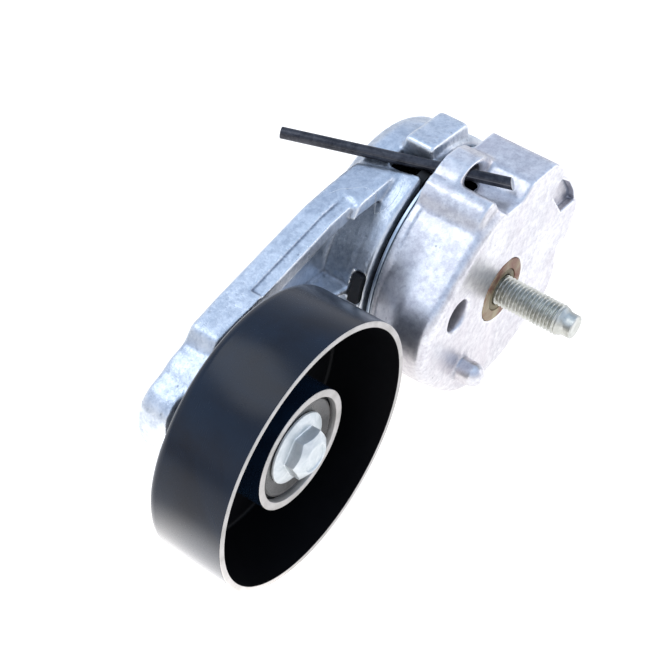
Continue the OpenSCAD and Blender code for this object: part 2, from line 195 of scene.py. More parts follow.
# fine rings that a cutting tool leaves around an axis along Y
def makeToolMarks():
    tree, given, made = effectGroup("toolMarks", {"Axis X": 0, "Axis Z": 0, "Rings": 3000,
                                                  "Runout": 0.00004}, ["Height", "Tone"])
    place = addNode(tree, "ShaderNodeTexCoord").outputs["Object"]
    split = addNode(tree, "ShaderNodeSeparateXYZ", {"Vector": place})
    acrossX = mathNode(tree, "SUBTRACT", split.outputs["X"], given.outputs["Axis X"])
    acrossZ = mathNode(tree, "SUBTRACT", split.outputs["Z"], given.outputs["Axis Z"])
    radius = mathNode(tree, "SQRT", mathNode(tree, "ADD", mathNode(tree, "MULTIPLY", acrossX, acrossX),
                                             mathNode(tree, "MULTIPLY", acrossZ, acrossZ)))
    wander = addNode(tree, "ShaderNodeTexNoise", {"Vector": place, "Scale": 60, "Detail": 1})
    radius = mathNode(tree, "ADD", radius, mathNode(tree, "MULTIPLY", wander.outputs["Fac"],
                                                    given.outputs["Runout"]))
    count = mathNode(tree, "MULTIPLY", radius, given.outputs["Rings"])
    rings = addNode(tree, "ShaderNodeTexNoise", {"W": count, "Scale": 1, "Detail": 3, "Roughness": 0.7},
                    noise_dimensions="1D")
    tree.links.new(rings.outputs["Fac"], made.inputs["Height"])
    tree.links.new(rampNode(tree, rings.outputs["Fac"], [(0.3, 0.0), (0.7, 1.0)]), made.inputs["Tone"])
    return tree


# handling marks: broad cloudy patches and thin scuffs
def makeHandling():
    tree, given, made = effectGroup("handling", {"Patch Scale": 40, "Scuff Scale": 220, "Stretch": 8,
                                                 "Scuffs": 1}, ["Patches", "Scuffs"])
    place = addNode(tree, "ShaderNodeTexCoord").outputs["Object"]
    patch = addNode(tree, "ShaderNodeTexNoise", {"Vector": place, "Scale": given.outputs["Patch Scale"],
                                                 "Detail": 5, "Roughness": 0.6, "Distortion": 0.8})
    turned = addNode(tree, "ShaderNodeMapping", {"Vector": place, "Rotation": (0.5, 0.9, 0.3)})
    split = addNode(tree, "ShaderNodeSeparateXYZ", {"Vector": turned.outputs["Vector"]})
    long = addNode(tree, "ShaderNodeCombineXYZ", {
        "X": split.outputs["X"],
        "Y": mathNode(tree, "MULTIPLY", split.outputs["Y"], given.outputs["Stretch"]),
        "Z": mathNode(tree, "MULTIPLY", split.outputs["Z"], given.outputs["Stretch"])})
    scuff = addNode(tree, "ShaderNodeTexNoise", {"Vector": long.outputs["Vector"],
                                                 "Scale": given.outputs["Scuff Scale"], "Detail": 3})
    lines = rampNode(tree, scuff.outputs["Fac"], [(0.62, 0.0), (0.70, 1.0)])
    tree.links.new(patch.outputs["Fac"], made.inputs["Patches"])
    tree.links.new(mathNode(tree, "MULTIPLY", lines, given.outputs["Scuffs"]), made.inputs["Scuffs"])
    return tree


castSkin = makeCastSkin()
wearAndCreviceShade = makeWearAndCreviceShade()
toolMarks = makeToolMarks()
handling = makeHandling()
print("effect groups built")


def newMaterial(name, metallic, roughness, ior=1.5):
    material = bpy.data.materials.new(name)
    material.use_nodes = True
    tree = material.node_tree
    shader = tree.nodes["Principled BSDF"]
    shader.inputs["Metallic"].default_value = metallic
    shader.inputs["Roughness"].default_value = roughness
    shader.inputs["IOR"].default_value = ior
    return material, tree, shader


# roughness that follows the cloudy patches and rises in the scuffs
def roughenBy(tree, shader, marks, middle, spread, scuffed):
    rough = mathNode(tree, "MULTIPLY", marks.outputs["Patches"], spread)
    rough = mathNode(tree, "ADD", rough, middle - spread / 2)
    rough = mathNode(tree, "ADD", rough, mathNode(tree, "MULTIPLY", marks.outputs["Scuffs"], scuffed))
    tree.links.new(rough, shader.inputs["Roughness"])


def bumpTo(tree, shader, height, strength, distance):
    bump = addNode(tree, "ShaderNodeBump", {"Height": height, "Strength": strength, "Distance": distance})
    tree.links.new(bump.outputs["Normal"], shader.inputs["Normal"])


# die-cast aluminium
def castMaterial(name, look):
    material, tree, shader = newMaterial(name, look["metallic"], 0.4)
    skin = placeGroup(tree, castSkin, {"Wave Scale": look["waveScale"], "Grain Scale": look["grainScale"],
                                       "Pit Scale": look["pitScale"], "Wave": look["wave"],
                                       "Grain": look["grain"], "Dents": look["dents"],
                                       "Pits": look["pits"]})
    wearAndShade = placeGroup(tree, wearAndCreviceShade, {"Start": 0.505, "Width": 0.018, "Breakup": 0.018, "Scale": 900,
                                       "Corner": look["corner"], "Corner Width": look["cornerWidth"]})
    marks = placeGroup(tree, handling, {"Patch Scale": look["patchScale"], "Scuffs": look["scuffs"]})
    base = rampNode(tree, skin.outputs["Tone"], [(0.40, look["dark"]), (0.58, look["light"])])
    stained = rampNode(tree, marks.outputs["Patches"], [(0.42, 0.0), (0.68, look["stainShare"])])
    base = mixColor(tree, stained, base, look["stain"])
    # painted shade: hollow corners are darkened towards the crevice shade colour
    base = mixColor(tree, mathNode(tree, "MULTIPLY", wearAndShade.outputs["Crevice"], look["creviceShadeShare"]),
                    base, look["creviceShade"])
    base = mixColor(tree, mathNode(tree, "MULTIPLY", marks.outputs["Scuffs"], look["scuffShare"]),
                    base, look["bright"])
    base = mixColor(tree, mathNode(tree, "MULTIPLY", skin.outputs["Pit"], 0.75), base, look["pitColor"])
    base = mixColor(tree, mathNode(tree, "MULTIPLY", wearAndShade.outputs["Mask"], look["edge"]),
                    base, look["bright"])
    tree.links.new(base, shader.inputs["Base Color"])
    rough = mathNode(tree, "MULTIPLY", marks.outputs["Patches"], look["roughSpread"])
    rough = mathNode(tree, "ADD", rough, look["rough"] - look["roughSpread"] / 2)
    rough = mathNode(tree, "SUBTRACT", rough, mathNode(tree, "MULTIPLY", wearAndShade.outputs["Mask"], 0.08))
    tree.links.new(rough, shader.inputs["Roughness"])
    high = mathNode(tree, "SUBTRACT", skin.outputs["Height"],
                    mathNode(tree, "MULTIPLY", marks.outputs["Scuffs"], 0.12))
    bumpTo(tree, shader, high, look["bump"], look["bumpDepth"])
    return material


# the crevice shade colours and shares below paint shade into the castings' hollow corners
housingCast = castMaterial("housingCast", {
    "light": (0.87, 0.855, 0.86), "dark": (0.58, 0.565, 0.595), "bright": (0.95, 0.95, 0.96),
    "stain": (0.66, 0.60, 0.63), "stainShare": 0.45, "pitColor": (0.10, 0.11, 0.13),
    "creviceShade": (0.22, 0.24, 0.29), "creviceShadeShare": 0.75, "edge": 0.7, "scuffShare": 0.12,
    "metallic": 0.92, "rough": 0.36, "roughSpread": 0.16, "corner": 0.495, "cornerWidth": 0.022,
    "waveScale": 70, "grainScale": 1500, "pitScale": 420, "patchScale": 34,
    "wave": 0.5, "grain": 1.0, "dents": 1.0, "pits": 1.0, "scuffs": 0.35, "bump": 0.5, "bumpDepth": 0.0004})
armCast = castMaterial("armCast", {
    "light": (0.80, 0.84, 0.89), "dark": (0.50, 0.55, 0.62), "bright": (0.92, 0.95, 0.97),
    "stain": (0.48, 0.54, 0.62), "stainShare": 0.55, "pitColor": (0.08, 0.09, 0.12),
    "creviceShade": (0.16, 0.18, 0.23), "creviceShadeShare": 0.85, "edge": 0.85, "scuffShare": 0.3,
    "metallic": 0.92, "rough": 0.36, "roughSpread": 0.18, "corner": 0.495, "cornerWidth": 0.022,
    "waveScale": 95, "grainScale": 1300, "pitScale": 380, "patchScale": 48,
    "wave": 0.8, "grain": 1.2, "dents": 1.4, "pits": 1.2, "scuffs": 1.0, "bump": 0.6, "bumpDepth": 0.0005})


# machined and plated metals
def metalMaterial(name, look):
    material, tree, shader = newMaterial(name, look.get("metallic", 1.0), look["rough"])
    turned = placeGroup(tree, toolMarks, {"Axis X": look.get("axisX", 0) * mm,
                                          "Rings": look.get("rings", 3000)})
    marks = placeGroup(tree, handling, {"Patch Scale": look.get("patchScale", 90),
                                        "Scuff Scale": look.get("scuffScale", 300),
                                        "Scuffs": look.get("scuffs", 0.5)})
    wearAndShade = placeGroup(tree, wearAndCreviceShade, {"Start": 0.52, "Width": 0.06, "Breakup": 0.04, "Scale": 1200})
    base = rampNode(tree, marks.outputs["Patches"], [(0.35, look["dark"]), (0.65, look["light"])])
    base = mixColor(tree, mathNode(tree, "MULTIPLY", turned.outputs["Tone"], look.get("ringTone", 0.25)),
                    base, look["light"])
    base = mixColor(tree, mathNode(tree, "MULTIPLY", wearAndShade.outputs["Mask"], look.get("edge", 0.5)),
                    base, look.get("bright", look["light"]))
    # painted shade: where a look gives a crevice shade colour, the hollows are darkened towards it
    if "creviceShade" in look:
        base = mixColor(tree, mathNode(tree, "MULTIPLY", wearAndShade.outputs["Crevice"], look["creviceShadeShare"]),
                        base, look["creviceShade"])
    tree.links.new(base, shader.inputs["Base Color"])
    roughenBy(tree, shader, marks, look["rough"], 0.16, 0.12)
    high = mathNode(tree, "ADD",
                    mathNode(tree, "MULTIPLY", turned.outputs["Height"], look.get("ringBump", 0.6)),
                    mathNode(tree, "MULTIPLY", marks.outputs["Scuffs"], 0.2))
    bumpTo(tree, shader, high, look.get("bump", 0.25), 0.0001)
    return material


pivotSteel = metalMaterial("pivotSteel", {
    "light": (0.42, 0.36, 0.24), "dark": (0.17, 0.03, 0.02), "bright": (0.62, 0.56, 0.44), "rough": 0.5,
    "metallic": 0.7, "patchScale": 105, "rings": 5200, "ringTone": 0.15, "scuffs": 1.0, "bump": 0.8})
retainerRing = metalMaterial("retainerRing", {
    "light": (0.30, 0.25, 0.14), "dark": (0.09, 0.06, 0.03), "rough": 0.6, "metallic": 0.0,
    "patchScale": 200, "bump": 0.6})
ringSteel = metalMaterial("ringSteel", {
    "light": (0.66, 0.74, 0.82), "dark": (0.42, 0.50, 0.58), "rough": 0.32})
springSteel = metalMaterial("springSteel", {
    "light": (0.20, 0.20, 0.21), "dark": (0.08, 0.08, 0.085), "rough": 0.4})
washerSteel = metalMaterial("washerSteel", {
    "light": (0.68, 0.69, 0.71), "dark": (0.50, 0.51, 0.54), "rough": 0.34, "rings": 2600})
spacerSteel = metalMaterial("spacerSteel", {
    "light": (0.62, 0.63, 0.66), "dark": (0.44, 0.45, 0.48), "rough": 0.3, "axisX": pulleyX})
raceSteel = metalMaterial("raceSteel", {
    "light": (0.64, 0.65, 0.67), "dark": (0.50, 0.51, 0.53), "rough": 0.2, "axisX": pulleyX, "rings": 6000})
ballSteel = metalMaterial("ballSteel", {
    "light": (0.80, 0.81, 0.82), "dark": (0.72, 0.73, 0.75), "rough": 0.14, "scuffs": 0.1,
    "ringBump": 0.05, "bump": 0.05})
cageSteel = metalMaterial("cageSteel", {
    "light": (0.62, 0.55, 0.42), "dark": (0.46, 0.39, 0.28), "rough": 0.38, "axisX": pulleyX})
boltZinc = metalMaterial("boltZinc", {
    "light": (0.80, 0.83, 0.83), "dark": (0.58, 0.63, 0.64), "bright": (0.97, 0.96, 0.92), "rough": 0.40,
    "metallic": 0.6, "axisX": pulleyX, "patchScale": 260, "ringTone": 0.15, "ringBump": 0.3,
    "bump": 0.5, "scuffScale": 900, "scuffs": 1.0})
shieldSteel = metalMaterial("shieldSteel", {
    "light": (0.085, 0.084, 0.083), "dark": (0.03, 0.03, 0.03), "bright": (0.60, 0.59, 0.57),
    "rough": 0.26, "axisX": pulleyX, "rings": 2400, "ringTone": 0.5})
rawSteel = metalMaterial("rawSteel", {
    "light": (0.62, 0.59, 0.56), "dark": (0.42, 0.40, 0.37), "rough": 0.46, "metallic": 0.7,
    "axisX": pulleyX, "rings": 3600, "ringTone": 0.4, "patchScale": 150, "bump": 0.4})
# the stud's crevice shade paints shade into its thread roots
studZinc = metalMaterial("studZinc", {
    "light": (0.72, 0.72, 0.66), "dark": (0.46, 0.46, 0.41), "bright": (0.80, 0.80, 0.76), "rough": 0.38,
    "patchScale": 300, "scuffScale": 900, "ringTone": 0.1, "scuffs": 1.0, "edge": 0.6, "bump": 0.5,
    "creviceShade": (0.14, 0.14, 0.10), "creviceShadeShare": 0.7})
pinBlack = metalMaterial("pinBlack", {
    "light": (0.085, 0.085, 0.095), "dark": (0.035, 0.035, 0.042), "bright": (0.24, 0.24, 0.25),
    "rough": 0.38, "patchScale": 200, "scuffScale": 420, "scuffs": 1.0, "ringTone": 0.05, "edge": 0.6})
cutSteel = metalMaterial("cutSteel", {
    "light": (0.82, 0.80, 0.77), "dark": (0.62, 0.60, 0.57), "rough": 0.3, "patchScale": 600})


# coatings, rubber and plastic
def coatingMaterial(name, look):
    material, tree, shader = newMaterial(name, 0.0, look["rough"], look.get("ior", 1.5))
    marks = placeGroup(tree, handling, {"Patch Scale": 26, "Scuff Scale": 160, "Stretch": 14,
                                        "Scuffs": look["scuffs"]})
    turned = placeGroup(tree, toolMarks, {"Axis X": pulleyX * mm, "Rings": 900})
    base = rampNode(tree, marks.outputs["Patches"], [(0.35, look["dark"]), (0.7, look["light"])])
    tree.links.new(base, shader.inputs["Base Color"])
    roughenBy(tree, shader, marks, look["rough"], 0.14, 0.15)
    high = mathNode(tree, "ADD", mathNode(tree, "MULTIPLY", marks.outputs["Patches"], 0.5),
                    mathNode(tree, "MULTIPLY", turned.outputs["Height"], 0.2))
    bumpTo(tree, shader, high, look["bump"], 0.0002)
    return material


pulleyBlack = coatingMaterial("pulleyBlack", {
    "light": (0.006, 0.017, 0.036), "dark": (0.003, 0.004, 0.009), "rough": 0.24, "scuffs": 0.4,
    "bump": 0.12, "ior": 1.40})
# painted shade: a darker, duller copy of the pulley coating for the inside of the cup
cupPaintedShade = coatingMaterial("cupPaintedShade", {
    "light": (0.004, 0.004, 0.005), "dark": (0.0015, 0.0015, 0.002), "rough": 0.42, "scuffs": 0.0,
    "bump": 0.06, "ior": 1.2})
damperBlack = coatingMaterial("damperBlack", {
    "light": (0.020, 0.021, 0.024), "dark": (0.010, 0.010, 0.012), "rough": 0.42,
    "scuffs": 0.6, "bump": 0.3})
sealBlack = coatingMaterial("sealBlack", {
    "light": (0.022, 0.022, 0.023), "dark": (0.012, 0.012, 0.013), "rough": 0.6,
    "scuffs": 0.2, "bump": 0.3})
bushingBrown = coatingMaterial("bushingBrown", {
    "light": (0.36, 0.25, 0.10), "dark": (0.24, 0.16, 0.06), "rough": 0.5, "scuffs": 0.3, "bump": 0.3})
thrustPale = coatingMaterial("thrustPale", {
    "light": (0.78, 0.76, 0.68), "dark": (0.68, 0.65, 0.57), "rough": 0.5, "scuffs": 0.3, "bump": 0.2})
print("materials built")


# piece helpers
def finishPiece(piece, node, body, materials, sharp=40):
    if piece.data.materials:    # a copied mesh brings its plain finish along
        piece.data.materials.clear()
    for material in materials:
        piece.data.materials.append(material)
    piece.data.polygons.foreach_set("use_smooth", [True] * len(piece.data.polygons))
    piece.data.set_sharp_from_angle(angle=math.radians(sharp))
    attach(piece, body)
    if node:
        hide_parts(node)
    return piece


def meshPiece(name, points, faces, finishes=None):
    mesh = bpy.data.meshes.new(name)
    mesh.from_pydata([tuple(c * mm for c in p) for p in points], [], faces)
    if finishes:
        mesh.polygons.foreach_set("material_index", finishes)
    work = bmesh.new()
    work.from_mesh(mesh)
    bmesh.ops.remove_doubles(work, verts=work.verts, dist=1e-7)
    bmesh.ops.recalc_face_normals(work, faces=work.faces)
    work.to_mesh(mesh)
    work.free()
    piece = bpy.data.objects.new(name, mesh)
    bpy.context.scene.collection.objects.link(piece)
    return piece


# corners are (radius, y, fillet, finish of the stretch that follows); the outline comes back smooth
def roundedOutline(corners, steps=5):
    outline = []
    count = len(corners)
    for i, (radius, y, fillet, finish) in enumerate(corners):
        here = Vector((radius, y))
        back = Vector(corners[i - 1][:2]) - here
        ahead = Vector(corners[(i + 1) % count][:2]) - here
        before = corners[i - 1][3]
        if fillet <= 0 or radius <= 0:
            outline.append((radius, y, finish))
            continue
        half = back.angle(ahead) / 2
        reach = min(fillet / math.tan(half), back.length * 0.49, ahead.length * 0.49)
        size = reach * math.tan(half)
        centre = here + (back.normalized() + ahead.normalized()).normalized() * size / math.sin(half)
        start = here + back.normalized() * reach - centre
        end = here + ahead.normalized() * reach - centre
        for k in range(steps + 1):
            spoke = start.slerp(end, k / steps) if 0 < k < steps else (end if k else start)
            spoke = spoke.normalized() * size
            outline.append((centre.x + spoke.x, centre.y + spoke.y, finish if k >= steps / 2 else before))
    return outline


def turnedPiece(name, corners, axisX=0.0, segments=160):
    outline = roundedOutline(corners)
    count = len(outline)
    points = []
    for k in range(segments):
        turn = 2 * math.pi * k / segments
        points += [(axisX + r * math.sin(turn), y, r * math.cos(turn)) for r, y, _ in outline]
    faces, finishes = [], []
    for k in range(segments):
        here, there = k * count, (k + 1) % segments * count
        for i in range(count):
            j = (i + 1) % count
            faces.append((here + i, here + j, there + j, there + i))
            finishes.append(outline[i][2])
    return meshPiece(name, points, faces, finishes)


# rings of points whose radius may change around the axis; the ends are closed
def ringedPiece(name, rings, axisX=0.0, segments=192):
    points = []
    for radiusAt, yAt in rings:
        for k in range(segments):
            turn = 2 * math.pi * k / segments
            radius, y = radiusAt(turn), yAt(turn)
            points.append((axisX + radius * math.sin(turn), y, radius * math.cos(turn)))
    faces = []
    for i in range(len(rings) - 1):
        here, there = i * segments, (i + 1) * segments
        for k in range(segments):
            m = (k + 1) % segments
            faces.append((here + k, here + m, there + m, there + k))
    faces.append(tuple(range(segments - 1, -1, -1)))
    faces.append(tuple(range((len(rings) - 1) * segments, len(rings) * segments)))
    return meshPiece(name, points, faces)


# castings: the frame's own solid, remeshed finely and relaxed, so that every edge gets a cast fillet
def relaxMesh(mesh, passes, freedom):
    count = len(mesh.vertices)
    place = np.empty(count * 3)
    mesh.vertices.foreach_get("co", place)
    place = place.reshape(-1, 3)
    ends = np.empty(len(mesh.edges) * 2, np.int32)
    mesh.edges.foreach_get("vertices", ends)
    one, two = ends.reshape(-1, 2).T
    degree = np.maximum(np.bincount(one, minlength=count) + np.bincount(two, minlength=count), 1)
    strength = 0.5 * freedom(place / mm)
    for _ in range(passes):
        for axis in range(3):
            along = place[:, axis]
            mean = (np.bincount(one, along[two], count) + np.bincount(two, along[one], count)) / degree
            place[:, axis] = along + (mean - along) * strength
    mesh.vertices.foreach_set("co", place.ravel())
    mesh.update()


def castPiece(name, node, body, material, look, freedom, extras=()):
    mesh = frame["nodes"][node].data.copy()
    work = bmesh.new()
    work.from_mesh(mesh)
    bmesh.ops.remove_doubles(work, verts=work.verts, dist=2e-6)
    for extra in extras:
        work.from_mesh(extra.data)
        bpy.data.objects.remove(extra)
    work.to_mesh(mesh)
    work.free()
    rough = bpy.data.objects.new(name + "Blank", mesh)
    bpy.context.scene.collection.objects.link(rough)
    remesh = rough.modifiers.new("skin", "REMESH")
    remesh.mode = "VOXEL"
    remesh.voxel_size = look["voxel"] * mm
    remesh.adaptivity = 0
    bpy.context.view_layer.update()
    shaped = bpy.data.meshes.new_from_object(rough.evaluated_get(bpy.context.evaluated_depsgraph_get()))
    bpy.data.objects.remove(rough)
    relaxMesh(shaped, look["passes"], freedom)
    piece = bpy.data.objects.new(name, shaped)
    bpy.context.scene.collection.objects.link(piece)
    finishPiece(piece, node, body, [material], sharp=180)
    print(name, "cast:", len(shaped.vertices), "points")
    return piece


def smoothStep(value, low, high):
    share = np.clip((value - low) / (high - low), 0, 1)
    return share * share * (3 - 2 * share)


# a crisp share is what is left of the relaxing inside its zone, and a zone fades between its two places in mm
housingLook = {"voxel": 0.4, "passes": 34, "wallR": 36.5, "innerR": 33.6,
               "crispRim": 0.12, "rim": (-4.0, -3.0), "crispBore": 0.3, "bore": (11.5, 13.0),
               "crispPeg": 0.06, "peg": (-1.2, -0.2), "notchX": (21, 23), "notchY": (2.6, 4.0)}


def housingFreedom(place):
    look = housingLook
    radius = np.hypot(place[:, 0], place[:, 2])
    rim = smoothStep(place[:, 1] - housingBack, *look["rim"])
    bore = 1 - smoothStep(radius, *look["bore"])
    peg = 1 - smoothStep(place[:, 1], *look["peg"])
    notch = smoothStep(place[:, 0], *look["notchX"]) * (1 - smoothStep(place[:, 1], *look["notchY"]))
    free = 1 - rim * (1 - look["crispRim"])
    free *= 1 - np.maximum(peg, notch) * (1 - look["crispPeg"])
    return free * (1 - bore * (1 - look["crispBore"]))


armLook = {"voxel": 0.4, "passes": 30, "crispRim": 0.4, "rimY": (7.4, 9.4), "rimX": (-44, -38),
           "crispLedge": 0.1, "ledgeY": (41.5, 43.0), "ledgeHubX": (-40, -34), "ledgeEndX": (-90, -84),
           "ledgeZ": (12, 16), "softNose": 0.7, "noseX": (-94, -86)}


def armFreedom(place):
    look = armLook
    rim = (1 - smoothStep(place[:, 1] - armFront, *look["rimY"])) * smoothStep(place[:, 0], *look["rimX"])
    ledge = 1 - smoothStep(place[:, 1], *look["ledgeY"])
    ledge *= 1 - smoothStep(place[:, 0], *look["ledgeHubX"])
    ledge *= smoothStep(place[:, 0], *look["ledgeEndX"]) * smoothStep(place[:, 2], *look["ledgeZ"])
    nose = 1 - smoothStep(place[:, 0], *look["noseX"])
    free = 1 - rim * (1 - look["crispRim"])
    return free * (1 - ledge * (1 - look["crispLedge"])) * (1 + nose * look["softNose"])


# swellings that draw the lobe and the lower right side smoothly into the round wall
swellLook = {
    "lobe": {"middle": 180.0, "centreR": 24.0, "endR": 20.6, "spread": 56, "fadeFrom": 10, "fadeTo": 24.4},
    "bulge": {"middle": -30.6, "centreR": 25.55, "endR": 16.0, "spread": 44, "fadeFrom": 13, "fadeTo": 24}}
wallSkin = 0.05    # a swelling stays this far under the round wall


# reach of a straight-sided swelling at an angle off its own middle, seen from the pivot
def swellReach(off, centreR, endR):
    wall = housingLook["wallR"]
    off = abs(off)
    touch = math.acos((wall - endR) / centreR)
    if off >= touch:
        return wall - wallSkin
    if off >= math.atan2(endR * math.sin(touch), centreR + endR * math.cos(touch)):
        return wall / math.cos(touch - off) - wallSkin
    return centreR * math.cos(off) + math.sqrt(endR ** 2 - (centreR * math.sin(off)) ** 2)


def swelling(look):
    chamferTop = 2.0    # below this level the front edge is cut at 45 degrees
    levels = [0.5, 1.2] + [chamferTop + 1.25 * i for i in range(17)]
    wall, inner = housingLook["wallR"], housingLook["innerR"]
    steps = 48
    points, faces = [], []
    for k in range(steps + 1):
        off = math.radians(look["spread"]) * (2 * k / steps - 1)
        turn = math.radians(look["middle"]) + off
        reach = swellReach(off, look["centreR"], look["endR"])
        row = [(inner, levels[0])]
        for y in levels:
            share = 1 - float(smoothStep(np.float64(y), look["fadeFrom"], look["fadeTo"]))
            row.append((wall - wallSkin + (reach - wall + wallSkin) * share - max(chamferTop - y, 0), y))
        row.append((inner, levels[-1]))
        points += [(r * math.cos(turn), y, r * math.sin(turn)) for r, y in row]
    count = len(levels) + 2
    for k in range(steps):
        for i in range(count):
            j = (i + 1) % count
            faces.append((k * count + i, k * count + j, (k + 1) * count + j, (k + 1) * count + i))
    faces += [tuple(range(count)), tuple(range((steps + 1) * count - 1, steps * count - 1, -1))]
    return meshPiece("swelling", points, faces)


castPiece("springHousing", "spring_housing", "housing", housingCast, housingLook,
          housingFreedom, [swelling(look) for look in swellLook.values()])
castPiece("tensionerArm", "tensioner_arm", "arm", armCast, armLook, armFreedom)


# thin parting flash across the top of the arm, laid on the casting's own skin
flashLook = {"across": 0.16, "lift": 0.02, "step": 0.5, "rayFrom": 60, "lowestZ": 25,
             "path": [(-37.5, 43.6), (-33.8, 42.2), (-31.7, 40.1), (-28.6, 37.6), (-27.6, 34.2),
                      (-26.6, 31.8), (-23.6, 30.0), (-20.4, 30.0), (-17.6, 30.9), (-15.0, 32.4)]}


def buildFlash(arm):
    look = flashLook
    tree = BVHTree.FromPolygons([v.co for v in arm.data.vertices], [p.vertices for p in arm.data.polygons])
    spots = []
    for (x0, y0), (x1, y1) in zip(look["path"], look["path"][1:]):
        count = max(int(math.hypot(x1 - x0, y1 - y0) / look["step"]), 1)
        for k in range(count):
            x, y = x0 + (x1 - x0) * k / count, y0 + (y1 - y0) * k / count
            spot, normal = tree.ray_cast(Vector((x, y, look["rayFrom"])) * mm, Vector((0, 0, -1)))[:2]
            if spot is not None and spot.z > look["lowestZ"] * mm:
                spots.append((spot / mm, normal))
    sides = 6
    points, faces = [], []
    for i, (spot, normal) in enumerate(spots):
        ahead = (spots[min(i + 1, len(spots) - 1)][0] - spots[max(i - 1, 0)][0]).normalized()
        side = ahead.cross(normal).normalized()
        wide = look["across"] * (0.6 + 0.4 * math.sin(i * 1.7) ** 2)
        for turn in range(sides):
            angle = 2 * math.pi * turn / sides
            rise = math.sin(angle) * wide + look["lift"]
            points.append(spot + side * math.cos(angle) * wide + normal * rise)
    for i in range(len(spots) - 1):
        here, there = i * sides, (i + 1) * sides
        for k in range(sides):
            j = (k + 1) % sides
            faces.append((here + k, here + j, there + j, there + k))
    last = (len(spots) - 1) * sides
    faces += [tuple(range(sides - 1, -1, -1)), tuple(range(last, last + sides))]
    piece = meshPiece("partingFlash", points, faces)
    finishPiece(piece, None, "arm", [armCast], sharp=80)


buildFlash(bpy.data.objects["tensionerArm"])


# pulley: pressed cup, black coated, with bare cut edges at its rim and hub
pulleyLook = {"steel": 2.0, "corner": 3.2, "hubFront": 4.3, "hubWall": 1.4, "lipR": 16.4, "boreR": 17.5,
              "bearingFront": 7.0, "bearingBack": 18.0, "backLip": 1.7, "edge": 0.35}


def buildPulley():
    look = pulleyLook
    front, back = pulleyLow.y, pulleyHigh.y
    hubR = look["boreR"] + look["hubWall"]
    # the inside of the cup takes the darker copy of the coating, painted shade
    black, bare, shadedInside = 0, 1, 2
    corners = [
        (pulleyR - look["steel"], front, 0.25, bare), (pulleyR, front, look["edge"], black),
        (pulleyR, back, look["corner"], black), (look["boreR"], back, 1.2, black),
        (look["boreR"], look["bearingBack"] + 1.8, 0.1, black),
        (look["boreR"] - look["backLip"], look["bearingBack"] + 1.4, 0.2, black),
        (look["boreR"] - look["backLip"], look["bearingBack"], 0.1, black),
        (look["boreR"], look["bearingBack"], 0, black), (look["boreR"], look["bearingFront"], 0, black),
        (look["lipR"], look["bearingFront"] - 0.4, 0.1, bare), (look["lipR"], look["hubFront"], 0.3, bare),
        (hubR, look["hubFront"], 0.4, black), (hubR, back - look["steel"], 1.2, shadedInside),
        (pulleyR - look["steel"], back - look["steel"], look["corner"] - look["steel"], shadedInside)]
    piece = turnedPiece("pulleyShell", corners, pulleyX, segments=256)
    finishPiece(piece, "pulley_shell", "pulley", [pulleyBlack, rawSteel, cupPaintedShade])


buildPulley()


# turned rings, washers and bearing parts, from the frame's boxes
def ringFromBox(name, node, body, slot, material, innerR, edge, axisX=0.0):
    low, high = boxOf(node)
    outerR = (high.x - low.x) / 2
    corners = [(innerR, low.y, edge, 0), (outerR, low.y, edge, 0), (outerR, high.y, edge, 0),
               (innerR, high.y, edge, 0)]
    finishPiece(turnedPiece(name, corners, axisX), node, body, [material])


# piece: node, body, slot, material, inner radius, edge fillet, axis in X
ringLooks = {
    "wearRing": ("wear_ring", "housing", "ring_steel", ringSteel, 32.6, 0.2),
    "thrustWasher": ("thrust_washer", "housing", "thrust_plastic", thrustPale, 11.1, 0.25),
    "retainingWasher": ("retaining_washer", "housing", "washer_steel", washerSteel, 8.5, 0.4),
    "boltRetainer": ("bolt_retainer", "housing", "retainer_plastic", retainerRing, 5.3, 0.3),
    "rearSpacer": ("rear_spacer", "arm", "spacer_steel", spacerSteel, 7.5, 0.3, pulleyX),
    "frontSeal": ("front_seal", "pulley", "seal_rubber", sealBlack, 10.3, 0.2, pulleyX),
    "rearSeal": ("rear_seal", "pulley", "seal_rubber", sealBlack, 10.3, 0.2, pulleyX)}
for name, row in ringLooks.items():
    ringFromBox(name, *row)

shieldLook = {"flatR": 11.6, "stepR": 12.6, "sheet": 0.66, "dish": 0.75}


def buildShield():
    look = shieldLook
    low, high = boxOf("dust_shield")
    edgeR = (high.x - low.x) / 2
    seat = high.y - look["sheet"]
    corners = [(7.5, seat, 0, 0), (look["flatR"], seat, 0.5, 0), (look["stepR"], seat - 0.25, 0.5, 0),
               (edgeR - 0.7, low.y, 0.15, 0), (edgeR, low.y + 0.15, 0.15, 0), (edgeR - 0.2, seat, 0.15, 0),
               (look["stepR"], seat + 0.4, 0.4, 0), (look["flatR"], high.y, 0.4, 0), (7.5, high.y, 0, 0)]
    piece = turnedPiece("dustShield", corners, pulleyX)
    finishPiece(piece, "dust_shield", "arm", [shieldSteel])


buildShield()


def buildPivotTube():
    low, high = boxOf("pivot_tube")
    outerR = (high.x - low.x) / 2
    shoulder = boxOf("retaining_washer")
    corners = [(7.2, low.y, 0.25, 0), (outerR, low.y, 0.35, 0), (outerR, shoulder[0].y, 0.1, 0),
               (8.4, shoulder[0].y, 0, 0), (8.4, shoulder[1].y, 0, 0), (9.8, shoulder[1].y, 0.5, 0),
               (9.2, high.y, 0.5, 0), (5.6, high.y, 0.5, 0), (5.6, 3.0, 0, 0), (7.2, 3.0, 0, 0)]
    piece = turnedPiece("pivotTube", corners)
    finishPiece(piece, "pivot_tube", "housing", [pivotSteel])


buildPivotTube()


# hexagon heads: flats cut by a chamfer cone, with a shallow dish in the end
headLook = {"slope": 34, "cornerBlend": 0.985, "dish": 0.45, "dishR": -1.05, "lipR": -0.75, "rimR": -0.55}


def flat(value):
    return lambda turn: value


